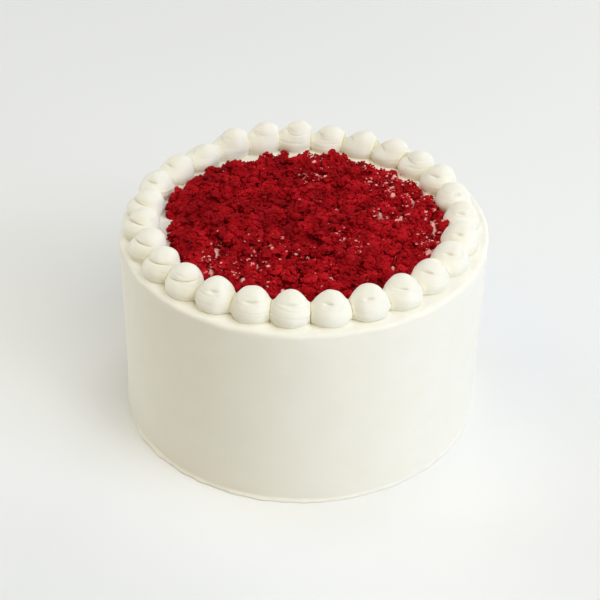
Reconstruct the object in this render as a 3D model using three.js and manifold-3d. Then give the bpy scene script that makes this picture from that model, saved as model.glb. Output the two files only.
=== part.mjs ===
// A whole round red velvet cheesecake, uncut: a tall cake under smooth frosting, a ring of piped frosting
// dots on its top, and a bed of red cake crumbs inside the ring. Millimetres, +Z up, origin at the centre
// of the flat underside. The near side of the cake is -Y and its right side +X.
import * as THREE from "three";
import { mergeVertices } from "three/addons/utils/BufferGeometryUtils.js";
import Module from "manifold-3d";

// Driving dimensions.
const CAKE_RADIUS = 106.5; // an 8 inch cake, 203 mm across, under 5 mm of frosting
const CAKE_HEIGHT = 118;
const CAKE_SIDES = 64;
const RIM_ROUND = 1.8; // the scraped edge between side and top
const SHELF_START = 0.8 * CAKE_RADIUS; // the top is level from here in
const FOOT_FLARE = 1.3; // frosting squeezed out along the base
const FOOT_HEIGHT = 1.9;
const FOOT_FADE = 1.2; // height above the foot over which the flare runs out into the side
const SIDE_WAVE = 0.3; // how far the scraped side drifts in and out
const LEAN = 1.2; // how far the top stands to the right of the foot

const DOT_COUNT = 27;
const DOT_RING = 0.866 * CAKE_RADIUS; // radius of the circle that the dots stand on
const RING_SHIFT = -0.35; // how far the middle of that circle stands to the right of the foot's middle
const FIRST_DOT_DEG = -93.4; // the dot nearest the front, counted anticlockwise from +X
const DOT_RADIUS = 11;
const DOT_HEIGHT = 15.5;
const BACK_DROP = 0.25; // how much lower the dots at the back stand, as a share of the height
const TALL_DOTS = [14, 15, 16]; // piped longer than the others at the back
const TALL_RISE = 1.02;
const DOT_BUNCH_DEG = 0.7; // how far the dots at the corners crowd towards the front and the back
const DOT_DRIFT = 0.01; // how far a dot strays along the ring, as a share of the spacing
const DOT_STRAY = 0.4; // and across it
const DOT_GAP = 0.3; // the least that two dots stand apart
const DOT_SIDES = 12;
const DOT_WIDEST = 0.32; // height of the widest part, as a share of the dot's height
const DOT_FOOT = 0.48; // radius of the foot, as a share of the dot's radius
const CREASE_SHARE = 0.86; // height of the crease that the tip leaves on the outer side
const FOLD_SHARE = 0.94; // height of the fold above it
const FOLD_OVERHANG = 0.45; // how far the fold stands out, as a share of the depth of the crease
const CREASE_DEPTH = { mean: 0.6, spread: 0.3 };
const TIP_LEAN = { mean: 1.2, spread: 0.6 }; // how far the tip stands from the middle of the foot
const FLICK_SPREAD = 0.5; // how far the lean strays from straight inwards, in radians

const BED_RADIUS = 79.9; // outline of the core of the crumb bed, where it meets a dot
const BED_WANDER = 0.7; // how far that outline wanders
const POCKET_DEPTH = 4; // how far the crumbs are pressed in between two dots on the right
const BED_REACH = 80.9; // the farthest that a lump lies from the middle
const BED_THICKNESS = 3.2;
const BED_EDGE = 1; // the broken upper edge of the core
const LUMPS = { count: 100, radius: [3, 4.5], trait: 20 }; // clumps of crumbs stuck together
const CRUMBS = { count: 130, radius: [1.9, 3], trait: 30 }; // single crumbs between them
const CRUMB_UNEVEN = 0.2; // how far the corners of either stand in or out
const CRUMB_SEAT = { least: 0.1, spread: 0.3 }; // height of a middle above the core, in radii
const CRUMB_STRAY = 0.3; // how far one strays around the middle of the bed, in radians

// Colours, roughness and metalness, as the finished surfaces look.
const FROSTING = new THREE.MeshStandardMaterial({ color: 0xf3eedf, roughness: 0.55, metalness: 0 });
const PIPED_FROSTING = new THREE.MeshStandardMaterial({ color: 0xf6f3e6, roughness: 0.5, metalness: 0 });
const RED_CRUMB = new THREE.MeshStandardMaterial({ color: 0x93060f, roughness: 0.95, metalness: 0 });

const wasm = await Module();
wasm.setup();

// A repeatable number from 0 to 1 for an item and one of its traits.
function draw(item, trait) {
  const s = Math.sin(item * 127.1 + trait * 311.7) * 43758.5453;
  return s - Math.floor(s);
}

// The same, from -1 to 1.
function swing(item, trait) {
  return 2 * draw(item, trait) - 1;
}

// Moves every vertex of a geometry by change(point), which edits the point in place.
function reshape(geometry, change) {
  const at = geometry.getAttribute("position");
  const point = new THREE.Vector3();
  for (let i = 0; i < at.count; i++) {
    change(point.fromBufferAttribute(at, i));
    at.setXYZ(i, point.x, point.y, point.z);
  }
  return geometry;
}

// A lathe turns about +Y, so it is laid over to turn about +Z. Its profile runs from the axis at the
// bottom, outwards and up, and back to the axis at the top.
function turned(profile, segments) {
  const points = profile.map(([radius, height]) => new THREE.Vector2(radius, height));
  return new THREE.LatheGeometry(points, segments).rotateX(Math.PI / 2);
}

// A geometry as a solid whose shared vertices are merged.
function solidOf(geometry) {
  const bare = geometry.clone();
  bare.deleteAttribute("normal");
  bare.deleteAttribute("uv");
  const merged = mergeVertices(bare, 1e-3);
  return new wasm.Manifold(
    new wasm.Mesh({
      numProp: 3,
      vertProperties: merged.getAttribute("position").array,
      triVerts: new Uint32Array(merged.index.array),
    }),
  );
}

function geometryOf(solid) {
  const mesh = solid.getMesh();
  return new THREE.BufferGeometry()
    .setAttribute("position", new THREE.BufferAttribute(mesh.vertProperties, 3))
    .setIndex(new THREE.BufferAttribute(mesh.triVerts, 1));
}

// How far the scraped side stands proud at an angle and a height: slow waves that a hand leaves.
function sideWave(angle, height) {
  const up = height / CAKE_HEIGHT;
  return SIDE_WAVE * (0.6 * Math.sin(2 * angle + 0.9) + 0.4 * Math.sin(3 * angle - 1.3 + 2 * up));
}

// The flare at the foot is widest at the front left and fades out at the back right.
function footFlare(angle) {
  const facing = 0.5 - 0.5 * Math.cos(angle - Math.PI / 4);
  return FOOT_FLARE * (0.35 + 0.65 * facing + 0.12 * Math.sin(7 * angle) + 0.08 * Math.sin(17 * angle + 1));
}

function cakeBody() {
  const sideHeights = [FOOT_HEIGHT + FOOT_FADE, 0.25 * CAKE_HEIGHT, 0.5 * CAKE_HEIGHT, 0.75 * CAKE_HEIGHT];
  const rimArc = [0, 30, 60, 90].map((degrees) => {
    const a = THREE.MathUtils.degToRad(degrees);
    return [
      CAKE_RADIUS - RIM_ROUND * (1 - Math.cos(a)),
      CAKE_HEIGHT - RIM_ROUND * (1 - Math.sin(a)),
    ];
  });
  const profile = [
    [0, 0],
    [CAKE_RADIUS, 0],
    [CAKE_RADIUS, 0.6 * FOOT_HEIGHT],
    ...sideHeights.map((height) => [CAKE_RADIUS, height]),
    ...rimArc,
    [SHELF_START, CAKE_HEIGHT],
    [0, CAKE_HEIGHT],
  ];
  return reshape(turned(profile, CAKE_SIDES), (p) => {
    const radius = Math.hypot(p.x, p.y);
    const angle = Math.atan2(p.y, p.x);
    if (radius > SHELF_START) {
      const flare = p.z < FOOT_HEIGHT ? footFlare(angle) : 0;
      const grown = (radius + sideWave(angle, p.z) + flare) / radius;
      p.x *= grown;
      p.y *= grown;
    }
    p.x += (LEAN * p.z) / CAKE_HEIGHT;
  });
}

function polar(angle, away) {
  return new THREE.Vector2(away * Math.cos(angle), away * Math.sin(angle));
}

// Where the dots stand: a hand spaces them nearly evenly, a little closer at the front and the back.
function dotStands() {
  const stands = [];
  for (let item = 0; item < DOT_COUNT; item++) {
    const turn = (item + DOT_DRIFT * swing(item, 1)) / DOT_COUNT;
    const even = THREE.MathUtils.degToRad(FIRST_DOT_DEG) + 2 * Math.PI * turn;
    const angle = even + THREE.MathUtils.degToRad(DOT_BUNCH_DEG) * Math.sin(2 * even);
    stands.push({ item, angle, at: polar(angle, DOT_RING + DOT_STRAY * swing(item, 2)) });
  }
  return stands;
}

// Width of a dot at a share of its height: a ball on a small foot, a little peaked at the top.
function dotWidth(share) {
  const below = 1 - share / DOT_WIDEST;
  if (below > 0) return Math.sqrt(1 - (1 - DOT_FOOT ** 2) * below ** 2);
  const above = (share - DOT_WIDEST) / (1 - DOT_WIDEST);
  return (1 - above ** 2) ** 0.58;
}

// How far the flicked tip of a dot is pinched in under its fold, and pushed out above it.
function tipFold(share, depth) {
  if (Math.abs(share - CREASE_SHARE) < 0.01) return -depth;
  if (Math.abs(share - FOLD_SHARE) < 0.01) return FOLD_OVERHANG * depth;
  return 0;
}

// The dots at the back stand lower than those in front, all but a few.
function dotHeight(item, angle) {
  const backness = (0.5 + 0.5 * Math.sin(angle)) ** 2;
  const rise = TALL_DOTS.includes(item) ? TALL_RISE : 1 - BACK_DROP * backness;
  return DOT_HEIGHT * rise * (1 + 0.03 * swing(item, 3));
}

// One piped dot, standing on z = 0 and pressed flat where it meets the dots on either side. The nozzle was
// flicked inwards as it left, so the top leans that way and leaves a crease on the outer side.
function pipedDot({ item, angle, at }, neighbours) {
  const radius = DOT_RADIUS * (1 + 0.02 * swing(item, 4));
  const height = dotHeight(item, angle);
  const flick = angle + Math.PI + FLICK_SPREAD * swing(item, 5);
  const lean = TIP_LEAN.mean + TIP_LEAN.spread * swing(item, 6);
  const depth = CREASE_DEPTH.mean + CREASE_DEPTH.spread * swing(item, 7);
  const shares = [0, 0.1, DOT_WIDEST, 0.55, 0.74, CREASE_SHARE, FOLD_SHARE];
  const profile = [
    [0, 0],
    ...shares.map((share) => [radius * dotWidth(share), height * share]),
    [0, height],
  ];
  return reshape(turned(profile, DOT_SIDES).rotateZ(angle), (p) => {
    const share = p.z / height;
    const away = Math.hypot(p.x, p.y);
    if (away > 1e-6) {
      const facing = Math.max(0, -Math.cos(Math.atan2(p.y, p.x) - flick)) ** 2;
      const moved = (away + facing * tipFold(share, depth)) / away;
      p.x *= moved;
      p.y *= moved;
    }
    p.x += lean * share ** 2 * Math.cos(flick);
    p.y += lean * share ** 2 * Math.sin(flick);
    for (const neighbour of neighbours) {
      const side = neighbour.at.clone().sub(at);
      const room = (side.length() - DOT_GAP) / 2;
      side.normalize();
      const over = Math.max(0, p.x * side.x + p.y * side.y - room);
      p.x -= over * side.x;
      p.y -= over * side.y;
    }
  });
}

// Puts the corners of a stone in and out, turns it and squashes it a little.
function broken(geometry, item) {
  return reshape(geometry, (p) => {
    const corner = Math.round(p.x) + 3 * Math.round(p.y) + 7 * Math.round(p.z);
    p.multiplyScalar(1 + CRUMB_UNEVEN * swing(item + 0.13 * corner, 8));
  })
    .rotateX(Math.PI * draw(item, 9))
    .rotateZ(2 * Math.PI * draw(item, 10))
    .scale(1, 1, 0.85);
}

function lump(item, radius) {
  return broken(new THREE.IcosahedronGeometry(radius, 0), item);
}

function crumb(item, radius) {
  const side = (2 * radius) / Math.sqrt(3);
  return broken(new THREE.BoxGeometry(side, side, side), item);
}

// Places stones over the bed, spread evenly by the golden angle and sunk part of the way in.
function scattered({ count, radius: [smallest, largest], trait }, make) {
  const goldenAngle = Math.PI * (3 - Math.sqrt(5));
  const stones = [];
  for (let item = 0; item < count; item++) {
    const radius = THREE.MathUtils.lerp(smallest, largest, draw(item, trait));
    const angle = item * goldenAngle + trait + CRUMB_STRAY * swing(item, trait + 1);
    const spread = BED_RADIUS * Math.sqrt((item + 0.5) / count);
    const at = polar(angle, Math.min(spread, BED_REACH - (1 + CRUMB_UNEVEN) * radius));
    const height = BED_THICKNESS + radius * (CRUMB_SEAT.least + CRUMB_SEAT.spread * draw(item, trait + 2));
    stones.push(solidOf(make(item, radius).translate(at.x, at.y, height)));
  }
  return stones;
}

// The core of the bed. Its outline runs from dot to dot and into the pockets between them, which are
// deepest on the right. It starts below the top of the cake, to be cut off level with it.
function bedCore(stands) {
  const outline = stands.flatMap(({ item, angle }) => {
    const pocketAngle = angle + Math.PI / DOT_COUNT;
    const depth = POCKET_DEPTH * (0.6 + 0.4 * Math.cos(pocketAngle));
    return [
      polar(angle, BED_RADIUS + BED_WANDER * swing(item, 11)),
      polar(pocketAngle, BED_RADIUS + depth + BED_WANDER * swing(item, 12)),
    ];
  });
  return new THREE.ExtrudeGeometry(new THREE.Shape(outline), {
    depth: BED_THICKNESS - BED_EDGE,
    bevelThickness: BED_EDGE,
    bevelSize: BED_EDGE,
    bevelOffset: -BED_EDGE,
    bevelSegments: 1,
  });
}

// The crumb bed: the core with the lumps and crumbs fused on. Its outer skin alone is kept, so that no
// pocket of air stays closed in under the crumbs.
function crumbBed(stands) {
  const pieces = [solidOf(bedCore(stands)), ...scattered(LUMPS, lump), ...scattered(CRUMBS, crumb)];
  const [across, deep] = [3 * BED_RADIUS, 4 * BED_THICKNESS];
  const below = new THREE.BoxGeometry(across, across, deep).translate(0, 0, -deep / 2);
  const skins = wasm.Manifold.union(pieces).subtract(solidOf(below)).decompose();
  skins.sort((a, b) => b.volume() - a.volume());
  return geometryOf(skins[0]);
}

function named(name, geometry, material) {
  const mesh = new THREE.Mesh(geometry, material);
  mesh.name = name;
  return mesh;
}

const cheesecake = new THREE.Group();
cheesecake.name = "red_velvet_cheesecake";
cheesecake.add(named("frosted_cake", cakeBody(), FROSTING));

const topping = new THREE.Group();
topping.position.set(RING_SHIFT, 0, CAKE_HEIGHT);
const stands = dotStands();
topping.add(named("crumb_bed", crumbBed(stands), RED_CRUMB));
for (const stand of stands) {
  const before = stands.at(stand.item - 1);
  const after = stands[(stand.item + 1) % DOT_COUNT];
  const name = `piped_dot_${String(stand.item + 1).padStart(2, "0")}`;
  const dot = named(name, pipedDot(stand, [before, after]), PIPED_FROSTING);
  dot.position.set(stand.at.x, stand.at.y, 0);
  topping.add(dot);
}
cheesecake.add(topping);

export default cheesecake;
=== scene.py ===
"""A whole red velvet cheesecake: smooth cream frosting, a ring of piped dots and a bed of loose red crumbs.

Metres, +Z up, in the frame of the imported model. The near side of the cake is -Y and its right side +X.
"""

import math

import bmesh
import bpy
import numpy as np
from mathutils import Matrix, Quaternion, Vector


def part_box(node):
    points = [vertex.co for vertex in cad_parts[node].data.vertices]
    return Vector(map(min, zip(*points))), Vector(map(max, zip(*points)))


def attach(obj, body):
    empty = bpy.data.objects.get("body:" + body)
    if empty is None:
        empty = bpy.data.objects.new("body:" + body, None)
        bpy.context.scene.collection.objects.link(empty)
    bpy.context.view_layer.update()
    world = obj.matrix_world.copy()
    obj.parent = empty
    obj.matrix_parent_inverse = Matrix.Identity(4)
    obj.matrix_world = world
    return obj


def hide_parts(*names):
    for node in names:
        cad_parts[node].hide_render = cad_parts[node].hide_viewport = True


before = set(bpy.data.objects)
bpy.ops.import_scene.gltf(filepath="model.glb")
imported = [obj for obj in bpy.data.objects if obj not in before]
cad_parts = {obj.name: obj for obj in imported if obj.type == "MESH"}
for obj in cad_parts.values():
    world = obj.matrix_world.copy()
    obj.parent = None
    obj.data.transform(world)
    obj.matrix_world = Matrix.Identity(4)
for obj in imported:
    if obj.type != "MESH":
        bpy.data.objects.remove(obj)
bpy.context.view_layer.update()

MM = 0.001

# The cake.
CAKE_RADIUS = 106.5 * MM
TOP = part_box("frosted_cake")[1].z  # height of the frosted top
LEAN = 1.2 * MM  # how far the top stands to the right of the foot
RIM_ROUND = 2.5 * MM
SHELF_START = 0.8 * CAKE_RADIUS
SIDE_WAVE = 0.3 * MM
FOOT_FLARE = 1.3 * MM
FOOT_HEIGHT = 1.9 * MM
PEEK_HEIGHT = 3.4 * MM  # how far the frosting stands up at the bare spots of the crumb bed
TOP_SKIN = 0.1 * MM  # what lies no deeper than this below the top belongs to the top
COAT_STEPS = 480  # round the cake

# The ring of piped dots. Each dot stands where its solid stands.
DOT_COUNT = 27
DOT_RADIUS = 10.8 * MM
DOT_BREADTH = 1.06  # how much wider a dot would be along the ring, if its neighbours left it room
DOT_WIDEST = 0.27  # height of the widest part, as a share of the dot's height
DOT_FOOT = 0.85  # radius of the foot, as a share of the dot's radius
DOT_SUNK = 0.5 * MM  # how far a dot is pressed into the top of the cake
DOT_GAP = 0.04 * MM
DOT_EDGE = 60  # an edge that turns by more degrees than this stays sharp
DOT_WEB = 3.0 * MM  # how softly a dot runs into its neighbours
FILLET = 1.5 * MM  # how far the top of the cake rises round the foot of a dot
TIP_HEADING = math.radians(88)  # the tips were flicked to the back
TIP_TURN = math.radians(70)  # and, on the far side of the ring, by this much more to the right
HALVINGS = 26  # how often the way to a dot's surface is halved
RING_SHIFT = -0.35 * MM  # how far the ring's middle stands to the right of the foot's middle
BIG_FOLDS = (20, 21, 22, 23, 24)  # piped with a large tip, folded far inwards

# The bed of crumbs.
BED_RADIUS = 80 * MM  # about how far it reaches
BED_FARTHEST = 91 * MM  # no crumb lies farther out
CORE_UNDER = -1.5 * MM  # how deep the core of the bed goes into the cake
CORE_STEPS = 420
CELL = 0.5 * MM  # step of the grid that the pile is measured on
PILE_HALF = 95 * MM
FAR = 1.0  # farther than anything on the cake


# ---- Unevenness -------------------------------------------------------------------------------------


def draw(item, trait):
    """A repeatable number from 0 to 1 for an item and one of its traits."""
    value = math.sin(item * 127.1 + trait * 311.7) * 43758.5453
    return value - math.floor(value)


def swing(item, trait):
    return 2 * draw(item, trait) - 1


def uneven(points, size, seed, waves=14):
    """Smooth unevenness, mostly from -1 to 1: waves of about one size that run in all directions."""
    pick = np.random.default_rng(seed)
    heading = pick.normal(size=(waves, 3))
    heading /= np.linalg.norm(heading, axis=1, keepdims=True)
    length = size * pick.uniform(0.7, 1.6, waves)
    start = pick.uniform(0, 2 * math.pi, waves)
    swell = points @ (heading * (2 * math.pi / length)[:, None]).T + start
    return np.sin(swell).sum(-1) / math.sqrt(waves)


def ease(low, high, value):
    """0 below low, 1 above high, and smooth in between."""
    share = np.clip((value - low) / (high - low), 0, 1)
    return share * share * (3 - 2 * share)


def bump(value, middle, width):
    return np.exp(-(((value - middle) / width) ** 2))


def turn_between(angle, middle):
    """The turn from middle to angle, from -pi to pi."""
    return (angle - middle + math.pi) % (2 * math.pi) - math.pi


# ---- Pieces -----------------------------------------------------------------------------------------


def on_level(x, y):
    """The points at these places on the level."""
    return np.stack([x, y, np.zeros_like(x)], -1)


def places(mesh):
    flat = np.empty(3 * len(mesh.vertices), np.float32)
    mesh.vertices.foreach_get("co", flat)
    return flat.reshape(-1, 3).astype(float)


def put(mesh, points):
    mesh.vertices.foreach_set("co", points.astype(np.float32).ravel())
    mesh.update()


def per_point(mesh, name, values):
    """Keeps a number with each point of a mesh, for the finish to read."""
    layer = mesh.attributes.new(name, "FLOAT", "POINT")
    layer.data.foreach_set("value", values.astype(np.float32))


def mesh_of(name, bm):
    mesh = bpy.data.meshes.new(name)
    bm.to_mesh(mesh)
    bm.free()
    return mesh


def piece(name, mesh, material, sharp=180):
    """A finished piece of the cake: it rides on the one body and takes the finish it is given.

    sharp is the turn in degrees from which an edge looks sharp.
    """
    mesh.polygons.foreach_set("use_smooth", [True] * len(mesh.polygons))
    mesh.set_sharp_from_angle(angle=math.radians(sharp))
    mesh.materials.append(material)
    obj = bpy.data.objects.new(name, mesh)
    bpy.context.scene.collection.objects.link(obj)
    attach(obj, "root")
    return obj


def spun(profile, steps):
    """A profile of radius and height, from the axis round to the axis, spun into a closed shape."""
    bm = bmesh.new()
    line = [bm.verts.new((radius, 0, height)) for radius, height in profile]
    edges = [bm.edges.new(pair) for pair in zip(line, line[1:])]
    bmesh.ops.spin(bm, geom=line + edges, axis=(0, 0, 1), angle=2 * math.pi, steps=steps, use_merge=True)
    bmesh.ops.remove_doubles(bm, verts=bm.verts, dist=1e-7)
    bmesh.ops.recalc_face_normals(bm, faces=bm.faces)
    return bm


def dot_name(item):
    return f"piped_dot_{item + 1:02d}"


def dot_stand(item):
    """The middle of a dot's foot, its height and its bearing from the middle of the ring."""
    low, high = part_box(dot_name(item))
    middle = (low + high) / 2
    return {
        "item": item,
        "at": np.array([middle.x, middle.y]),
        "height": high.z - low.z,
        "bearing": math.atan2(middle.y, middle.x - RING_SHIFT),
    }


STANDS = [dot_stand(item) for item in range(DOT_COUNT)]


# ---- Frosted cake -----------------------------------------------------------------------------------


def peeks(x, y):
    """The frosting that is squeezed up between the crumbs at the bare spots."""
    at = on_level(x, y)
    ragged = beside_spots(x, y) + 0.6 * MM * uneven(at, 2.6 * MM, 26)
    return PEEK_HEIGHT * (1 - ease(-1.0 * MM, 1.2 * MM, ragged)) * (0.8 + 0.2 * uneven(at, 4 * MM, 27))


def dot_fillets(x, y):
    """The frosting of the top, which clings to the foot of each dot."""
    lift = np.zeros_like(x)
    for stand in STANDS:
        away = np.hypot(x - stand["at"][0], y - stand["at"][1])
        lift = np.maximum(lift, FILLET * (1 - ease(0.86 * DOT_RADIUS, 1.12 * DOT_RADIUS, away)))
    return lift


def stain_and_red_bounce(x, y):
    """How red the frosting is under the crumbs, partly a real stain and partly painted red bounce light: 0
    outside the bed, 1 under it, less at its bare spots.
    """
    covered = ease(-2.6 * MM, 0.2 * MM, beside_spots(x, y))
    return ease(-1.5 * MM, 2.5 * MM, inside_bed(x, y)) * (0.8 + 0.2 * covered)


def cake_profile():
    """Radius and height along half a cut through the cake, from its middle underneath round to the top."""
    under = [(0, 0), (0.5 * CAKE_RADIUS, 0), (CAKE_RADIUS - 1.2 * MM, 0), (CAKE_RADIUS - 0.3 * MM, 0)]
    foot = [(CAKE_RADIUS, height * MM) for height in (0.25, 0.6, 1.0, 1.4, 1.8, 2.2, 2.7, 3.4, 4.4)]
    side = [(CAKE_RADIUS, height) for height in np.linspace(6 * MM, TOP - 3 * MM, 64)]
    rim = [
        (CAKE_RADIUS - RIM_ROUND * (1 - math.cos(a)), TOP - RIM_ROUND * (1 - math.sin(a)))
        for a in np.radians(np.linspace(0, 90, 9))
    ]
    shelf = [(radius, TOP) for radius in np.arange(CAKE_RADIUS - RIM_ROUND - MM, SHELF_START, -MM)]
    inner = [(radius, TOP) for radius in np.linspace(SHELF_START - MM, 0, 84)]
    return under + foot + side + rim + shelf + inner


def side_wave(angle, height):
    """The slow waves that a hand leaves in the side."""
    up = height / TOP
    return SIDE_WAVE * (0.6 * np.sin(2 * angle + 0.9) + 0.4 * np.sin(3 * angle - 1.3 + 2 * up))


def foot_flare(angle):
    """The frosting squeezed out along the base, widest at the front left."""
    facing = 0.5 - 0.5 * np.cos(angle - math.pi / 4)
    return FOOT_FLARE * (0.35 + 0.65 * facing + 0.12 * np.sin(7 * angle) + 0.08 * np.sin(17 * angle + 1))


def frosted_cake():
    mesh = mesh_of("frosting_coat", spun(cake_profile(), COAT_STEPS))
    at = places(mesh)
    radius = np.hypot(at[:, 0], at[:, 1])
    angle = np.arctan2(at[:, 1], at[:, 0])
    height = at[:, 2]
    on_top = height > TOP - TOP_SKIN
    outer = ease(SHELF_START, CAKE_RADIUS - 2 * RIM_ROUND, radius)
    above_foot = ease(0, 4 * MM, height)

    # The side: slow waves, soft palm-sized drifts and the fine level lines that a scraper draws.
    push = side_wave(angle, height)
    push += 0.16 * MM * uneven(at, 34 * MM, 1) * above_foot
    push += 0.05 * MM * uneven(at, 9 * MM, 2) * above_foot
    push += 0.05 * MM * uneven(at * (0.03, 0.03, 1), 3.2 * MM, 3) * above_foot
    # The foot: a thin lip with a groove above it.
    ragged = 1 + 0.25 * uneven(at, 7 * MM, 4)
    push += foot_flare(angle) * ragged * (1 - ease(0.9 * MM, FOOT_HEIGHT + 0.6 * MM, height))
    push -= 0.25 * MM * bump(height, 3 * MM, 0.7 * MM) * (0.5 + 0.5 * uneven(at, 22 * MM, 5))
    # The rim: nowhere quite straight.
    near_rim = ease(TOP - 7 * MM, TOP - RIM_ROUND, height) * outer
    push += near_rim * 0.22 * MM * uneven(at * (1, 1, 0), 16 * MM, 6)
    grown = 1 + outer * push / np.maximum(radius, MM)

    lift = outer * ease(0.6 * TOP, TOP, height) * 0.28 * MM * uneven(at * (1, 1, 0), 19 * MM, 7)
    # The shelf outside the dots is drawn inwards, and stands a little proud along its edge.
    edge_ridge = bump(radius, CAKE_RADIUS - RIM_ROUND - 0.8 * MM, 1.1 * MM) * on_top
    lift += edge_ridge * 0.14 * MM * (0.6 + uneven(at, 11 * MM, 8))
    shelf = ease(SHELF_START, SHELF_START + 6 * MM, radius) * ease(TOP - MM, TOP, height)
    lift += shelf * (0.07 * MM * uneven(at, 5 * MM, 9))
    shaped = at * np.stack([grown, grown, np.ones_like(grown)], -1)
    shaped[:, 0] += LEAN * height / TOP
    fillets = dot_fillets(shaped[:, 0], shaped[:, 1]) * on_top
    drawn_up = peeks(shaped[:, 0], shaped[:, 1]) * on_top
    shaped[:, 2] += lift + drawn_up + fillets
    put(mesh, shaped)
    # Painted shade on the fillets round the feet of the dots.
    per_point(mesh, "painted_shade", fillets / FILLET)
    # Under the crumbs: partly a real red stain, partly painted red bounce light.
    per_point(mesh, "crumb_stain_and_red_bounce", stain_and_red_bounce(shaped[:, 0], shaped[:, 1]) * (height > TOP - MM))
    coat = piece("frosting_coat", mesh, smooth_frosting())
    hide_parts("frosted_cake")


# ---- Piped dots -------------------------------------------------------------------------------------


def dot_traits(stand):
    """How one dot was piped. Its tip is flicked to one side, and leaves a crease on the other.

    flick is the tip's heading and tip_lean how far it leans; crease_half is half the crease's width in
    radians; tilt and tilt_to say how steeply, and to which side, the layers of the piping lie.
    """
    item, height = stand["item"], stand["height"]
    big = item in BIG_FOLDS
    behind = ease(0.2, 0.8, math.sin(stand["bearing"]))
    inwards = stand["bearing"] + math.pi
    wanted = TIP_HEADING - TIP_TURN * behind
    heading = inwards + (0.5 if big else 1.0) * turn_between(wanted, inwards) + 0.3 * swing(item, 5)
    return {
        "radius": DOT_RADIUS * (1 + 0.02 * swing(item, 4)),
        "height": height + DOT_SUNK + 1.5 * MM * behind,
        "ball_share": 0.75 if big else 0.85 + 0.02 * swing(item, 36) - 0.1 * behind,
        "flick": heading - stand["bearing"],
        "tip_radius": (0.8 if big else 0.77 + 0.03 * swing(item, 31) - 0.04 * behind) * DOT_RADIUS,
        "tip_lean": (2.7 if big else 1.9 + 0.4 * swing(item, 6) + 1.0 * behind) * MM,
        "tip_depth": 0.48 * height,
        "crease_half": 0.95 if big else 0.4 + 0.12 * swing(item, 32),
        "crease_depth": (1.1 if big else 1.0 + 0.25 * swing(item, 7) - 0.3 * behind) * MM,
        "softness": (2.5 + 0.5 * swing(item, 33) + 1.9 * behind) * MM,
        "tilt": 0.16 * swing(item, 34),
        "tilt_to": 2 * math.pi * draw(item, 35),
    }


def soft_join(first, second, softness):
    """The lesser of two depths, which run together softly where they meet."""
    share = np.clip(0.5 + 0.5 * (first - second) / softness, 0, 1)
    return first * (1 - share) + second * share - softness * share * (1 - share)


def dot_depth(p, t):
    """How far points lie outside a dot with traits t, in its own frame: x outwards, z up from its foot."""
    widest = DOT_WIDEST * t["height"]
    below = widest / math.sqrt(1 - DOT_FOOT**2)
    above = t["ball_share"] * t["height"] - widest
    low = p[:, 2] < widest
    across = np.hypot(p[:, 0], p[:, 1] / DOT_BREADTH) / t["radius"]
    upright = np.abs(p[:, 2] - widest) / np.where(low, below, above)
    full = np.where(low, 2.1, 1.95)  # the belly is a little fuller than a ball's, and the shoulders leaner
    ball = ((across**full + upright**full) ** (1 / full) - 1) * 0.9 * t["radius"]

    tip_x = t["tip_lean"] * math.cos(t["flick"])
    tip_y = t["tip_lean"] * math.sin(t["flick"])
    dx, dy = p[:, 0] - tip_x, p[:, 1] - tip_y
    tip_z = t["height"] - t["tip_depth"]
    tip = np.hypot(np.hypot(dx, dy) / t["tip_radius"], (p[:, 2] - tip_z) / t["tip_depth"])
    tip = (tip - 1) * t["tip_radius"]

    # The two run together softly, and meet in a sharp crease on the side away from the flick.
    away = turn_between(np.arctan2(dy, dx), t["flick"] + math.pi)
    crease = bump(away, 0, t["crease_half"])
    joined = soft_join(tip, ball, t["softness"] * (1 - crease) + 0.2 * MM)
    return joined + t["crease_depth"] * crease * bump(tip - ball, 0, 0.4 * MM)


def joined_depth(p, t, walls):
    """The same for a dot that runs into its neighbours, and ends at the upright wall shared with each."""
    depth = dot_depth(p, t)
    for toward, room in walls:
        image = p.copy()
        image[:, :2] -= 2 * (p[:, :2] @ toward - room)[:, None] * toward
        depth = soft_join(depth, dot_depth(image, t), DOT_WEB)
    for toward, room in walls:
        depth = np.maximum(depth, p[:, :2] @ toward - room)
    return depth


def layer_lines(p, item, t):
    """The shallow lines between the turns of a piped dot: each is tilted and fades out round the dot."""
    level = p[:, 2] + t["tilt"] * (p[:, 0] * math.cos(t["tilt_to"]) + p[:, 1] * math.sin(t["tilt_to"]))
    level = level + 0.25 * MM * uneven(p, 9 * MM, 400 + item)
    angle = np.arctan2(p[:, 1], p[:, 0])
    depth = np.zeros(len(p))
    for line in range(6):
        rise = (0.12 + 0.13 * line + 0.05 * swing(item, 40 + line)) * t["height"]
        fade = np.cos(angle - 2 * math.pi * draw(item, 50 + line)) * 0.5 + 0.5
        strength = (0.28 + 0.14 * swing(item, 60 + line)) * MM
        depth += strength * fade**2 * bump(level, rise, 0.36 * MM)
    return depth


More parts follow.
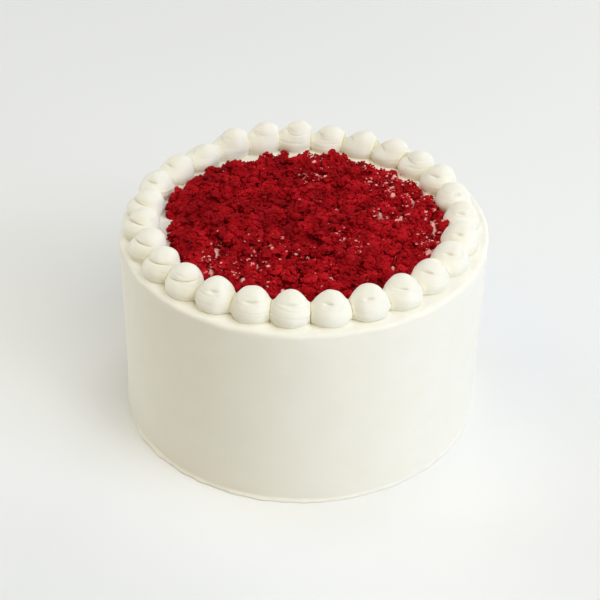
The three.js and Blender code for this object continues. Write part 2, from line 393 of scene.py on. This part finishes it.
def piped_dot(stand, neighbours, material):
    """One dot, pressed against its neighbours. It grows out of a ball."""
    item, t = stand["item"], dot_traits(stand)
    bm = bmesh.new()
    bmesh.ops.create_uvsphere(bm, u_segments=96, v_segments=72, radius=1)
    bmesh.ops.rotate(bm, verts=bm.verts, matrix=Matrix.Rotation(stand["bearing"], 3, "Z"))
    mesh = mesh_of(f"dot_{item + 1:02d}", bm)

    # Each vertex of the sphere goes outwards from the dot's middle until it meets the dot's surface.
    heading = places(mesh)
    heading /= np.linalg.norm(heading, axis=1, keepdims=True)
    c, s = math.cos(stand["bearing"]), math.sin(stand["bearing"])
    to_own = np.array([[c, -s, 0], [s, c, 0], [0, 0, 1]])
    heading = heading @ to_own
    walls = []
    for neighbour in neighbours:
        side = neighbour["at"] - stand["at"]
        away = np.linalg.norm(side)
        walls.append((side / away @ to_own[:2, :2], (away - DOT_GAP) / 2))
    middle = np.array([0, 0, 0.42 * t["height"]])
    near, far = np.zeros(len(heading)), np.full(len(heading), 1.7 * t["radius"])
    for _ in range(HALVINGS):
        half = (near + far) / 2
        outside = joined_depth(middle + heading * half[:, None], t, walls) > 0
        near, far = np.where(outside, near, half), np.where(outside, half, far)
    p = middle + heading * near[:, None]
    p -= heading * layer_lines(p, item, t)[:, None]
    p += heading * (0.13 * MM * uneven(p, 8 * MM, 500 + item))[:, None]
    p[:, 2] = np.maximum(p[:, 2], 0)
    # Painted shade at the foot of the dot and where it meets its neighbours.
    painted_shade = 1 - ease(MM, 4 * MM, p[:, 2])
    for toward, room in walls:
        past = np.maximum(p[:, :2] @ toward - room, 0)
        p[:, :2] -= past[:, None] * toward
        painted_shade = np.maximum(painted_shade, 1 - ease(0, 2.5 * MM, room - p[:, :2] @ toward))
    p = p @ to_own.T
    p += (stand["at"][0], stand["at"][1], TOP - DOT_SUNK)
    put(mesh, p)
    per_point(mesh, "painted_shade", painted_shade)
    dot = piece(mesh.name, mesh, material, DOT_EDGE)
    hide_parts(dot_name(item))


def ring_of_dots():
    material = piped_frosting()
    for stand in STANDS:
        before = STANDS[stand["item"] - 1]
        after = STANDS[(stand["item"] + 1) % DOT_COUNT]
        piped_dot(stand, [before, after], material)


# ---- Crumbs -----------------------------------------------------------------------------------------

# How far the bed reaches from the middle of the ring, in millimetres, at bearings in degrees from the right:
# farthest on the right and in front, with a bare strip behind and a notch on the left.
BED_REACH = [
    (0, 86), (12, 83.5), (25, 80), (50, 79), (65, 77), (78, 74), (90, 73.5), (104, 71), (115, 76), (125, 77),
    (137, 75.5), (145, 78), (153, 73), (160, 78), (168, 81), (175, 76), (180, 67), (185, 74), (192, 78),
    (215, 79), (260, 82), (330, 83), (345, 85.5),
]

# Bare spots where the frosting shows between the crumbs. The larger ones, in millimetres from the middle
# of the cake's foot: to the right, to the back, half the width and half the length from front to back.
BARE_MARKS = [
    (-48, -33.5, 2.0, 6.5), (-32.5, -62, 2.6, 3.8), (-49.5, -53, 2.0, 3.6), (-5, -43.5, 3.8, 2.6),
    (-16, -31.5, 2.2, 2.4), (-26, -45.5, 3.0, 2.4), (23, -18.5, 2.3, 3.0), (36, -29.5, 2.8, 2.2),
    (32, -38.5, 2.6, 2.4), (58, 3.5, 2.8, 3.2), (75.5, -4, 1.6, 7.5), (72.5, -19, 3.5, 3.0),
    (71.5, -30, 2.4, 4.2), (44.5, 41, 2.1, 2.5), (62, 45.5, 2.5, 3.6), (55.5, 51.5, 1.8, 3.2),
    (1.5, 49, 2.0, 2.6), (12.5, 47.5, 2.0, 2.6), (53.5, 30, 2.6, 2.2), (70, 45, 2.0, 2.4),
    (65, 22, 1.6, 4.0), (45.5, 5.5, 2.0, 2.6), (73.5, 31.5, 1.9, 3.0), (9, 64, 1.8, 2.2),
]
BARE_SHARE = 0.8  # how much of that size the frosting fills
BARE_COUNT = 20  # how many small ones are scattered besides
BARE_SIZE = (0.9 * MM, 1.6 * MM)


def bed_reach(angle):
    """How far the bed reaches from the middle of the ring."""
    bearings, reach = zip(*BED_REACH)
    even = np.interp(np.degrees(angle) % 360, bearings, np.array(reach) * MM, period=360)
    rim = on_level(np.cos(angle), np.sin(angle)) * BED_RADIUS
    return even + 0.9 * MM * uneven(rim, 15 * MM, 20) + 0.7 * MM * uneven(rim, 7 * MM, 19)


def inside_bed(x, y):
    """How far a point lies inside the edge of the bed."""
    return bed_reach(np.arctan2(y, x - RING_SHIFT)) - np.hypot(x - RING_SHIFT, y)


def bare_spots():
    """All bare spots: middle, half the width, half the length and turn of each."""
    size = BARE_SHARE * MM
    spots = [(x * MM, y * MM, across * size, along * size, 0) for x, y, across, along in BARE_MARKS]
    pick = np.random.default_rng(77)
    while len(spots) < len(BARE_MARKS) + BARE_COUNT:
        x, y = pick.uniform(-1, 1, 2) * BED_RADIUS
        wanted = 0.12 + 0.5 * ease(-0.4, 0.7, x / BED_RADIUS) + 0.4 * ease(0.1, 0.9, -y / BED_RADIUS)
        if math.hypot(x, y) < 0.95 * BED_RADIUS and pick.random() < wanted:
            across = pick.uniform(*BARE_SIZE)
            spots.append((x, y, across, across * pick.uniform(1, 2.2), pick.uniform(-0.8, 0.8)))
    return spots


BARE_SPOTS = bare_spots()


def beside_spots(x, y):
    """How far a point lies outside the nearest bare spot. It is below 0 inside one."""
    room = np.full(np.shape(x), FAR)
    for spot_x, spot_y, across, along, turn in BARE_SPOTS:
        dx, dy = x - spot_x, y - spot_y
        sideways = (dx * math.cos(turn) + dy * math.sin(turn)) / across
        forwards = (dy * math.cos(turn) - dx * math.sin(turn)) / along
        room = np.minimum(room, (np.hypot(sideways, forwards) - 1) * across)
    return room


def thinness(x, y):
    """Where the crumbs lie thin: 1 on the right and in front, and 0 on the left, in the middle and behind."""
    return np.clip(0.6 * ease(10 * MM, 70 * MM, x + 0.25 * y) + 0.45 * ease(20 * MM, 75 * MM, -y), 0, 1)


def thickness(x, y):
    """How thick the bed lies: heaped here and thinner there."""
    at = on_level(x, y)
    heaped = 0.7 * uneven(at, 26 * MM, 21) + 0.9 * uneven(at, 12 * MM, 18)
    return np.maximum(2.4 - 1.5 * thinness(x, y) + heaped, 0.4) * MM


def core_height(x, y):
    """Height of the core of the bed above the frosting: packed crumbs, with fine lumps on top."""
    inside, at = inside_bed(x, y), on_level(x, y)
    lumps = 0.45 * uneven(at, 6 * MM, 22) + 0.4 * uneven(at, 3 * MM, 23) + 0.3 * uneven(at, 1.5 * MM, 24)
    height = 0.7 * thickness(x, y) + 0.4 * MM * lumps
    height = height * ease(0, 5 * MM, inside) - 0.8 * MM * (1 - ease(0, 2.5 * MM, inside))
    ragged = beside_spots(x, y) + 0.6 * MM * uneven(at, 2.2 * MM, 25)
    bare = 1 - ease(0, 0.9 * MM, ragged)
    return height * (1 - bare) - 0.9 * MM * bare


class Pile:
    """The bed on a fine grid: how high the crumbs lie already, and how much room there is for more."""

    def __init__(self):
        steps = np.arange(-PILE_HALF, PILE_HALF, CELL)
        self.x, self.y = np.meshgrid(steps, steps, indexing="ij")
        self.height = np.maximum(core_height(self.x, self.y), 0)
        self.to_edge = inside_bed(self.x, self.y)
        self.to_spot = beside_spots(self.x, self.y)
        self.to_dot = np.full_like(self.x, FAR)
        for stand in STANDS:
            gap = np.hypot(self.x - stand["at"][0], self.y - stand["at"][1]) - DOT_RADIUS
            self.to_dot = np.minimum(self.to_dot, gap)
        self.thick = thickness(self.x, self.y)

    def cell(self, x, y):
        return int((x + PILE_HALF) / CELL), int((y + PILE_HALF) / CELL)

    def window(self, x, y, radius):
        """The cells round a place, out to a radius."""
        low_x = int((x - radius + PILE_HALF) / CELL)
        low_y = int((y - radius + PILE_HALF) / CELL)
        wide = int(2 * radius / CELL) + 2
        return slice(low_x, low_x + wide), slice(low_y, low_y + wide)

    def fits(self, x, y, radius):
        """Whether a crumb stays inside the bed and clear of the dots and the bare spots."""
        cell = self.cell(x, y)
        return (
            self.to_edge[cell] > 0.5 * radius
            and self.to_dot[cell] > 0.6 * radius - MM
            and self.to_spot[cell] > 0.85 * radius - 0.3 * MM
        )

    def level(self, x, y, radius):
        """The height that something of this radius would rest at."""
        patch = self.height[self.window(x, y, 0.7 * radius)]
        return 0.55 * patch.mean() + 0.45 * patch.max()

    def lay(self, x, y, z, radius, flatness):
        """Adds a crumb with its middle at x, y, z to what lies there already."""
        cells = self.window(x, y, radius)
        away_squared = (self.x[cells] - x) ** 2 + (self.y[cells] - y) ** 2
        dome = z + flatness * np.sqrt(np.maximum(radius**2 - away_squared, 0))
        dome = np.where(away_squared < radius**2, dome, 0)
        self.height[cells] = np.maximum(self.height[cells], dome)


# The kinds of crumbs, and for each kind:
# small   the higher it is, the more of them are small ones
# apart   the least distance between two, as a share of their radii together
# choose  how many places each is offered, of which it takes the lowest
# sunk    how deep each sits, as a share of its height
# finer   how finely its ball is divided
# torn    how ragged it is
# sharp   the turn in degrees from which its edges look sharp
# heaped  how far the kind keeps to the heaps
# pale    how much frosting it is smeared with
KINDS = {
    "crumb_clumps": {
        "count": 190, "radius": (2.8 * MM, 4.8 * MM), "small": 1.2, "apart": 0.76, "choose": 1,
        "sunk": 0.4, "finer": 3, "torn": 1.1, "sharp": 30, "heaped": 0.95, "pale": 0,
    },
    "crumb_pieces": {
        "count": 2300, "radius": (0.95 * MM, 2.5 * MM), "small": 1.6, "apart": 0.4, "choose": 1,
        "sunk": 0.36, "finer": 2, "torn": 1.0, "sharp": 38, "heaped": 0.3, "pale": 0,
    },
    "crumb_grains": {
        "count": 9500, "radius": (0.3 * MM, 0.9 * MM), "small": 1.5, "apart": 0, "choose": 3,
        "sunk": 0.2, "finer": 1, "torn": 0.6, "sharp": 30, "heaped": 0.0, "pale": 0,
    },
}  # fmt: skip
# Crumbs smeared with frosting, which show as pale flecks.
FLECKS = {
    "count": 600, "radius": (0.3 * MM, 1.25 * MM), "small": 2.2, "raised": 0.15, "flatness": 0.45,
    "finer": 1, "torn": 1.2, "sharp": 30, "pale": 1.4,
}  # fmt: skip
FLECKS_BY_SPOTS = 0.3  # share of them that lies beside the larger bare spots
FLECK_STRAY = 2 * MM  # how far those stray from the spot
OFFERS = 60  # places tried for each crumb before the bed counts as full
# Crumbs that lie loose on the bare strip behind: place and radius in millimetres.
STRAY_CRUMBS = [
    (-11.6, 79.3, 2.1), (-9.9, 81.2, 1.2), (59.5, 54.0, 2.6), (61.5, 56.5, 1.4), (25.5, 81.0, 1.3),
]
STRAY_FLATNESS = 0.75
# What makes a crumb brighter: chance, painted light on crumbs that lie high (painted shade on those low in
# the bed), and painted light where the bed is thin, on the right and in front.
SHADE_LEAST, SHADE_BY_CHANCE, PAINTED_LIGHT_WHERE_HIGH, PAINTED_LIGHT_WHERE_THIN = 0.04, 0.22, 0.24, 0.6


def lay_crumbs(pile, kind, pick):
    """Lays crumbs of one kind on the pile. Returns the middle, the radius and the flatness of each."""
    low, high = kind["radius"]
    block = 2 * high  # crumbs are kept by blocks this wide, so that only those near by are compared
    laid, near_by = [], {}
    for x, y, radius in STRAY_CRUMBS:
        if low <= radius * MM < high:
            laid.append((x * MM, y * MM, 0.5 * radius * MM, radius * MM, STRAY_FLATNESS))
    for _ in range(OFFERS * kind["count"]):
        if len(laid) == kind["count"]:
            break
        radius = low + (high - low) * pick.random() ** kind["small"]
        offers = []
        for _ in range(kind["choose"]):
            angle, away = pick.uniform(-math.pi, math.pi), BED_FARTHEST * math.sqrt(pick.random())
            x, y = RING_SHIFT + away * math.cos(angle), away * math.sin(angle)
            if pile.fits(x, y, radius):
                offers.append((pile.level(x, y, radius), x, y))
        if not offers:
            continue
        level, x, y = min(offers)
        thick = pile.thick[pile.cell(x, y)]
        flat_here = max(1 - ease(0.8 * MM, 2.6 * MM, thick), ease(0.1, 0.5, thinness(x, y)))
        if pick.random() < kind["heaped"] * flat_here:
            continue
        i, j = int(x // block), int(y // block)
        around = [c for di in (-1, 0, 1) for dj in (-1, 0, 1) for c in near_by.get((i + di, j + dj), ())]
        if any(math.hypot(x - c[0], y - c[1]) < kind["apart"] * (radius + c[3]) for c in around):
            continue
        flatness = 0.68 + 0.22 * pick.random()
        z = level + radius * flatness * (1 - 2 * kind["sunk"])
        pile.lay(x, y, z, radius, flatness)
        laid.append((x, y, z, radius, flatness))
        near_by.setdefault((i, j), []).append(laid[-1])
    return np.array(laid)


def random_turns(count, pick):
    """Rotation matrices that turn each of count crumbs its own way."""
    q = pick.normal(size=(count, 4))
    q /= np.linalg.norm(q, axis=1, keepdims=True)
    w, x, y, z = q.T
    rows = [
        (1 - 2 * (y * y + z * z), 2 * (x * y - z * w), 2 * (x * z + y * w)),
        (2 * (x * y + z * w), 1 - 2 * (x * x + z * z), 2 * (y * z - x * w)),
        (2 * (x * z - y * w), 2 * (y * z + x * w), 1 - 2 * (x * x + y * y)),
    ]
    return np.stack([np.stack(row, -1) for row in rows], -2)


def lay_flecks(pile, pick):
    """Lays the crumbs smeared with frosting: some beside the bare spots, the rest in drifts."""
    low, high = FLECKS["radius"]
    laid = []
    while len(laid) < FLECKS["count"]:
        if pick.random() < FLECKS_BY_SPOTS:
            spot_x, spot_y, across, along = BARE_MARKS[pick.integers(len(BARE_MARKS))]
            x = spot_x * MM + pick.normal() * (BARE_SHARE * across * MM + FLECK_STRAY)
            y = spot_y * MM + pick.normal() * (BARE_SHARE * along * MM + FLECK_STRAY)
        else:
            x, y = pick.uniform(-1, 1, 2) * BED_RADIUS
            at = np.array([[x, y, 0]])
            drift = uneven(at, 9 * MM, 28)[0] + 0.7 * uneven(at, 3 * MM, 29)[0]
            wanted = ease(0.9, 2.9, drift + 0.25 * thinness(x, y) + 0.8 * ease(10 * MM, 60 * MM, -y))
            if pick.random() > wanted:
                continue
        cell = pile.cell(x, y)
        radius = low + (high - low) * pick.random() ** FLECKS["small"]
        if pile.to_edge[cell] < MM or pile.to_dot[cell] < radius or pile.to_spot[cell] < 0:
            continue
        level = pile.height[pile.window(x, y, 0.7 * radius)].mean()
        laid.append((x, y, level + FLECKS["raised"] * radius, radius, FLECKS["flatness"]))
    return np.array(laid)


def crumb_mesh(name, laid, kind, pick):
    """Joins crumbs into one mesh. Each is a ball, torn into its own shape: lobes, knobs and open pores."""
    bm = bmesh.new()
    bmesh.ops.create_icosphere(bm, subdivisions=kind["finer"], radius=1)
    ball = np.array([v.co for v in bm.verts])
    faces = np.array([[v.index for v in face.verts] for face in bm.faces])
    bm.free()
    count, torn, pale = len(laid), kind["torn"], kind["pale"]
    seen = ball[None] + pick.uniform(-60, 60, (count, 1, 3))
    size = 1 + torn * (0.5 * uneven(seen, 2.2, 30) + 0.34 * uneven(seen, 1.05, 31))
    size += torn * 0.3 * np.abs(uneven(seen, 0.6, 32)) - 0.1 * torn
    pores = pick.normal(size=(count, 7, 3))
    pores /= np.linalg.norm(pores, axis=2, keepdims=True)
    gap = np.linalg.norm(ball[None, :, None] - pores[:, None], axis=3)
    size -= 0.28 * torn * np.exp(-((gap / 0.32) ** 2)).sum(-1)
    size = np.clip(size, 0.45, 1.5)
    stretch = pick.uniform(0.8, 1.25, (count, 1, 3))
    shape = np.einsum("nij,nvj->nvi", random_turns(count, pick), ball[None] * size[..., None] * stretch)
    shape[..., 2] *= laid[:, 4, None]
    shape = shape * laid[:, 3, None, None] + laid[:, None, :3] + (0, 0, TOP)
    every = (faces[None] + len(ball) * np.arange(count)[:, None, None]).reshape(-1, 3)
    mesh = bpy.data.meshes.new(name)
    mesh.from_pydata(shape.reshape(-1, 3), [], every)
    # Painted shade on what lies low in the bed and painted light on what lies high, and painted light where
    # the bed is thin.
    raised = ease(0.3 * MM, 4.5 * MM, shape[..., 2] - TOP)
    thin = thinness(laid[:, 0], laid[:, 1])[:, None]
    shade = pale + SHADE_BY_CHANCE * pick.random((count, 1)) * (1 + 2 * pale)
    shade = shade + PAINTED_LIGHT_WHERE_HIGH * raised + PAINTED_LIGHT_WHERE_THIN * thin + SHADE_LEAST
    per_point(mesh, "crumb_shade", shade.ravel())
    return mesh


def bed_core():
    """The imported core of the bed, with lumps finer than rice, sunk below the frosting at its bare spots."""
    under = [(share, CORE_UNDER) for share in (0, 0.5, 1)]
    top = [(share, 0) for share in np.linspace(1, 0, 116)]
    mesh = mesh_of("crumb_core", spun(under + top, CORE_STEPS))
    at = places(mesh)
    angle = np.arctan2(at[:, 1], at[:, 0])
    away = np.hypot(at[:, 0], at[:, 1]) * (bed_reach(angle) + 0.5 * MM)
    x, y = RING_SHIFT + away * np.cos(angle), away * np.sin(angle)
    height = np.where(at[:, 2] < CORE_UNDER / 2, CORE_UNDER, core_height(x, y))
    put(mesh, np.stack([x, y, TOP + height], -1))
    # Painted shade low in the core, and painted light where the bed is thin.
    per_point(mesh, "crumb_shade", 0.2 + 0.12 * ease(0, 3 * MM, height) + 0.4 * thinness(x, y))
    return mesh


def crumb_bed():
    material = red_crumb()
    pick = np.random.default_rng(5)
    pile = Pile()
    core = piece("crumb_core", bed_core(), material)
    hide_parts("crumb_bed")
    for name, kind in KINDS.items():
        laid = lay_crumbs(pile, kind, pick)
        piece(name, crumb_mesh(name, laid, kind, pick), material, kind["sharp"])
    flecks = crumb_mesh("crumb_flecks", lay_flecks(pile, pick), FLECKS, pick)
    piece("crumb_flecks", flecks, material, FLECKS["sharp"])


# ---- Finishes ---------------------------------------------------------------------------------------


class Recipe:
    """Puts nodes into a shader tree: one call makes a node, sets its values and links what feeds it."""

    def __init__(self, tree):
        self.tree = tree

    def add(self, kind, inputs=None, **settings):
        node = self.tree.nodes.new("ShaderNode" + kind)
        for name, value in settings.items():
            setattr(node, name, value)
        for name, value in (inputs or {}).items():
            if isinstance(value, bpy.types.NodeSocket):
                self.tree.links.new(value, node.inputs[name])
            else:
                node.inputs[name].default_value = value
        return node

    def math(self, operation, *values):
        return self.add("Math", dict(enumerate(values)), operation=operation).outputs[0]

    def noise(self, place, size, detail=2.0, rough=0.5):
        """Noise whose lumps are about size metres apart. Size may also be a socket with lumps per metre."""
        scale = size if isinstance(size, bpy.types.NodeSocket) else 1 / size
        node = self.add("TexNoise", {"Vector": place, "Scale": scale, "Detail": detail, "Roughness": rough})
        return node.outputs["Fac"]

    def spread(self, value, low, high, to_low=0.0, to_high=1.0):
        inputs = {"Value": value, "From Min": low, "From Max": high, "To Min": to_low, "To Max": to_high}
        return self.add("MapRange", inputs).outputs["Result"]

    def blend(self, share, first, second):
        node = self.add("Mix", {0: share, 6: first, 7: second}, data_type="RGBA")
        return node.outputs[2]


def group(name, inputs, outputs):
    """An empty node group, with the sockets that give its inputs and take its outputs."""
    tree = bpy.data.node_groups.new(name, "ShaderNodeTree")
    for label, kind, value in inputs:
        socket = tree.interface.new_socket(label, in_out="INPUT", socket_type="NodeSocket" + kind)
        if value is not None:
            socket.default_value = value
    for label, kind in outputs:
        tree.interface.new_socket(label, in_out="OUTPUT", socket_type="NodeSocket" + kind)
    return tree, tree.nodes.new("NodeGroupInput").outputs, tree.nodes.new("NodeGroupOutput").inputs


def whipped_group():
    """Whipped frosting: a faint mottle, fine drag marks along the work and a few burst air bubbles."""
    tree, given, wanted = group(
        "whipped_frosting",
        [("Place", "Vector", None), ("Mottle", "Float", 80.0), ("Bubbles", "Float", 0.5)],
        [("Shade", "Float"), ("Height", "Float"), ("Painted_Pit_Shade", "Float")],
    )
    r = Recipe(tree)
    broad = r.noise(given["Place"], given["Mottle"], 3)
    fine = r.noise(given["Place"], 0.0016, 3, 0.6)
    cells = r.add("TexVoronoi", {"Vector": given["Place"], "Scale": 1 / 0.0042, "Randomness": 1.0})
    keep = r.add("TexWhiteNoise", {"Vector": cells.outputs["Position"]}).outputs["Value"]
    pit = r.spread(cells.outputs["Distance"], 0.05, 0.1, 1.0, 0.0)
    pit = r.math("MULTIPLY", pit, r.math("GREATER_THAN", keep, 0.86))
    pit = r.math("MULTIPLY", pit, given["Bubbles"])
    height = r.math("ADD", r.math("MULTIPLY", broad, 0.5), r.math("MULTIPLY", fine, 0.22))
    tree.links.new(broad, wanted["Shade"])
    tree.links.new(r.math("SUBTRACT", height, r.math("MULTIPLY", pit, 0.5)), wanted["Height"])
    # The bubble pits, for painted shade in the colour.
    tree.links.new(pit, wanted["Painted_Pit_Shade"])
    return tree


def finish_of(name):
    material = bpy.data.materials.new(name)
    material.use_nodes = True
    tree = material.node_tree
    return material, tree, Recipe(tree), tree.nodes["Principled BSDF"]


WHIPPED = whipped_group()

# Colours, as red, green, blue and opacity in linear light.
FROSTING_LIGHT = (0.905, 0.872, 0.775, 1)
FROSTING_DEEP = (0.893, 0.857, 0.753, 1)
PIPED_LIGHT = (0.893, 0.862, 0.765, 1)
PIPED_DEEP = (0.873, 0.836, 0.72, 1)
PAINTED_HOLLOW_SHADE = (0.93, 0.88, 0.7, 1)  # painted warm shade between the dots and at their feet
STAIN_AND_RED_BOUNCE = (0.98, 0.42, 0.38, 1)  # frosting under the crumbs: partly a real red stain, partly painted red bounce light from the crumbs
FLECK_PALE = (0.93, 0.37, 0.335, 1)  # crumbs smeared with frosting
CRUMB_DARK = (0.19, 0.001, 0.003, 1)
CRUMB_RED = (0.36, 0.002, 0.006, 1)
CRUMB_BRIGHT = (0.62, 0.010, 0.018, 1)
CRUMB_TONES = (0.56, 1.66)  # from the darkest to the brightest tone of a crumb
SMEARED_SHADES = (1.4, 2.4)  # the crumb_shade of crumbs with the least and the most frosting on them
FLOOR_LIGHT = (0.87, 0.87, 0.86, 1)
FLOOR_DEEP = (0.86, 0.86, 0.85, 1)
SKY_COLOUR = (1.0, 0.995, 0.98, 1)


def frosting(name, light, deep, mottle, bubbles, streaks, roughness):
    """Buttercream: cream with painted deeper shade in the bubble pits and painted warm shade in the hollows,
    soft to light and faintly glossy.
    """
    material, tree, r, shader = finish_of(name)
    place = r.add("TexCoord").outputs["Object"]
    whipped = r.add("Group", node_tree=WHIPPED)
    tree.links.new(place, whipped.inputs["Place"])
    whipped.inputs["Mottle"].default_value = 1 / mottle
    whipped.inputs["Bubbles"].default_value = bubbles
    drag = r.add("Mapping", {"Vector": place, "Scale": (0.04, 0.04, 1.0)}).outputs[0]
    lines = r.noise(drag, 0.0011, 2, 0.55)
    shade = r.spread(whipped.outputs["Shade"], 0.3, 0.7)
    # The mottle, with painted shade in the bubble pits.
    shade = r.math("ADD", shade, r.math("MULTIPLY", whipped.outputs["Painted_Pit_Shade"], 0.6))
    # Under the crumbs: partly a real red stain, partly painted red bounce light.
    stain_and_bounce = r.add("Attribute", attribute_name="crumb_stain_and_red_bounce").outputs["Fac"]
    # Painted warm shade at the feet of the dots and between them.
    painted_shade = r.add("Attribute", attribute_name="painted_shade").outputs["Fac"]
    cream = r.blend(painted_shade, r.blend(shade, light, deep), PAINTED_HOLLOW_SHADE)
    tree.links.new(r.blend(stain_and_bounce, cream, STAIN_AND_RED_BOUNCE), shader.inputs["Base Color"])
    dull = r.math("ADD", whipped.outputs["Shade"], lines)
    tree.links.new(r.spread(dull, 0.7, 1.3, roughness - 0.06, roughness + 0.06), shader.inputs["Roughness"])
    height = r.math("ADD", whipped.outputs["Height"], r.math("MULTIPLY", lines, streaks))
    raised = r.add("Bump", {"Height": height, "Distance": 0.0002, "Strength": 0.5})
    tree.links.new(raised.outputs[0], shader.inputs["Normal"])
    shader.inputs["Subsurface Weight"].default_value = 0.7
    shader.inputs["Subsurface Radius"].default_value = (1.0, 0.95, 0.88)
    shader.inputs["Subsurface Scale"].default_value = 0.0018
    shader.inputs["Specular IOR Level"].default_value = 0.3
    return material


def smooth_frosting():
    colours = {"light": FROSTING_LIGHT, "deep": FROSTING_DEEP}
    return frosting("smooth_frosting", **colours, mottle=14 * MM, bubbles=0.4, streaks=0.3, roughness=0.55)


def piped_frosting():
    colours = {"light": PIPED_LIGHT, "deep": PIPED_DEEP}
    return frosting("piped_frosting", **colours, mottle=10 * MM, bubbles=0.25, streaks=0.0, roughness=0.48)


def red_crumb():
    """Red velvet crumb: dry and open, from nearly black red with painted shade in the pores and low in the
    bed to bright red with painted light on crumbs that lie high or where the bed is thin, with a tone that
    differs at random.
    """
    material, tree, r, shader = finish_of("red_crumb")
    place = r.add("TexCoord").outputs["Object"]
    # crumb_shade holds a random tone, the frosting smeared on flecks, and painted light and shade.
    own = r.add("Attribute", attribute_name="crumb_shade").outputs["Fac"]
    clump = r.noise(place, 0.01, 1)
    grain = r.noise(place, 0.0007, 3, 0.65)
    cells = r.add("TexVoronoi", {"Vector": place, "Scale": 1 / 0.0011}).outputs["Distance"]
    open_pore = r.spread(cells, 0.05, 0.45, 1.0, 0.0)
    tone = r.math("ADD", r.math("MULTIPLY", own, 0.75), r.math("MULTIPLY", clump, 1.4))
    tone = r.math("ADD", tone, r.math("MULTIPLY", grain, 0.18))
    # Painted shade in the open pores.
    tone = r.math("SUBTRACT", tone, r.math("MULTIPLY", open_pore, 0.1))
    ramp = r.add("ValToRGB", {"Fac": r.spread(tone, *CRUMB_TONES)})
    stops = ramp.color_ramp.elements
    stops[0].color, stops[1].color = CRUMB_DARK, CRUMB_BRIGHT
    stops.new(0.5).color = CRUMB_RED
    smeared = r.spread(own, *SMEARED_SHADES)
    tree.links.new(r.blend(smeared, ramp.outputs["Color"], FLECK_PALE), shader.inputs["Base Color"])
    height = r.math("SUBTRACT", grain, r.math("MULTIPLY", open_pore, 0.7))
    raised = r.add("Bump", {"Height": height, "Distance": 0.0003, "Strength": 0.8})
    tree.links.new(raised.outputs[0], shader.inputs["Normal"])
    tree.links.new(r.spread(grain, 0.3, 0.7, 0.8, 1.0), shader.inputs["Roughness"])
    shader.inputs["Subsurface Weight"].default_value = 0.4
    shader.inputs["Subsurface Radius"].default_value = (1.0, 0.2, 0.2)
    shader.inputs["Subsurface Scale"].default_value = 0.0012
    shader.inputs["Specular IOR Level"].default_value = 0.12
    return material


def pale_floor():
    material, tree, r, shader = finish_of("pale_floor")
    place = r.add("TexCoord").outputs["Object"]
    cloud = r.spread(r.noise(place, 0.8, 1), 0.3, 0.7)
    tree.links.new(r.blend(cloud, FLOOR_DEEP, FLOOR_LIGHT), shader.inputs["Base Color"])
    shader.inputs["Roughness"].default_value = 0.6
    shader.inputs["Specular IOR Level"].default_value = 0.2
    return material


# ---- Studio -----------------------------------------------------------------------------------------

# The camera looks at the middle of the cake's foot from this far away, and is then turned a little.
CAMERA_DISTANCE = 8.55 * CAKE_RADIUS
CAMERA_ELEVATION = math.radians(39.05)
CAMERA_PITCH = math.radians(3.29)
CAMERA_YAW = math.radians(0.057)
CAMERA_ROLL = math.radians(-0.54)
SENSOR = 36
FOCAL_LENGTH = 87.0

# Large soft lights all round, in watts. Azimuth 0 is on the right and 90 behind. The light is cool from the
# window and from above, and warm from the front, the left and the back right.
LIGHT_SIZE = 2.0
LIGHT_DISTANCE = 3.0
BLUE_SKY = (0.7, 0.8, 1.0)
CLOUD = (0.9, 0.95, 1.0)
CREAM = (1.0, 0.95, 0.8)
AMBER = (1.0, 0.85, 0.5)
LIGHTS = [
    # name, azimuth, elevation, power, colour
    ("window", -30, 20, 40, BLUE_SKY),
    ("window_high", -30, 50, 20, CLOUD),
    ("front", -60, 50, 30, CREAM),
    ("ceiling", 0, 88, 25, BLUE_SKY),
    ("back_left", 150, 20, 35, CLOUD),
    ("left", 210, 50, 20, AMBER),
    ("back_right", 60, 20, 30, CREAM),
]
SKY_STRENGTH = 0.01
FLOOR_HALF = 6  # half the width of the floor


def camera():
    data = bpy.data.cameras.new("camera")
    data.sensor_width = SENSOR
    data.lens = FOCAL_LENGTH
    data.clip_start = 0.01
    data.clip_end = 20
    place = Vector((0, -math.cos(CAMERA_ELEVATION), math.sin(CAMERA_ELEVATION))) * CAMERA_DISTANCE
    forward, right = -place.normalized(), Vector((1, 0, 0))
    yaw = Quaternion(right.cross(forward), CAMERA_YAW)
    forward, right = yaw @ forward, yaw @ right
    pitch = Quaternion(right, CAMERA_PITCH)
    forward = pitch @ forward
    right = Quaternion(forward, CAMERA_ROLL) @ right
    up = right.cross(forward)
    obj = bpy.data.objects.new("camera", data)
    obj.matrix_world = Matrix.Translation(place) @ Matrix((right, up, -forward)).transposed().to_4x4()
    bpy.context.scene.collection.objects.link(obj)
    bpy.context.scene.camera = obj


def soft_light(name, azimuth, elevation, power, colour):
    """A square soft light that faces the cake."""
    data = bpy.data.lights.new(name, "AREA")
    data.size = LIGHT_SIZE
    data.energy = power
    data.color = colour
    a, e = math.radians(azimuth), math.radians(elevation)
    away = Vector((math.cos(a) * math.cos(e), math.sin(a) * math.cos(e), math.sin(e)))
    obj = bpy.data.objects.new(name, data)
    obj.location = away * LIGHT_DISTANCE + Vector((0, 0, TOP / 2))
    obj.rotation_euler = away.to_track_quat("Z", "Y").to_euler()
    bpy.context.scene.collection.objects.link(obj)


def studio():
    bm = bmesh.new()
    bmesh.ops.create_grid(bm, x_segments=8, y_segments=8, size=FLOOR_HALF)
    mesh = mesh_of("floor", bm)
    mesh.materials.append(pale_floor())
    floor = bpy.data.objects.new("floor", mesh)
    bpy.context.scene.collection.objects.link(floor)

    world = bpy.data.worlds.new("studio")
    world.use_nodes = True
    sky = world.node_tree.nodes["Background"]
    sky.inputs["Color"].default_value = SKY_COLOUR
    sky.inputs["Strength"].default_value = SKY_STRENGTH
    bpy.context.scene.world = world
    for light in LIGHTS:
        soft_light(*light)
    view = bpy.context.scene.view_settings
    view.view_transform = "Standard"
    view.look = "None"


frosted_cake()
ring_of_dots()
crumb_bed()
camera()
studio()
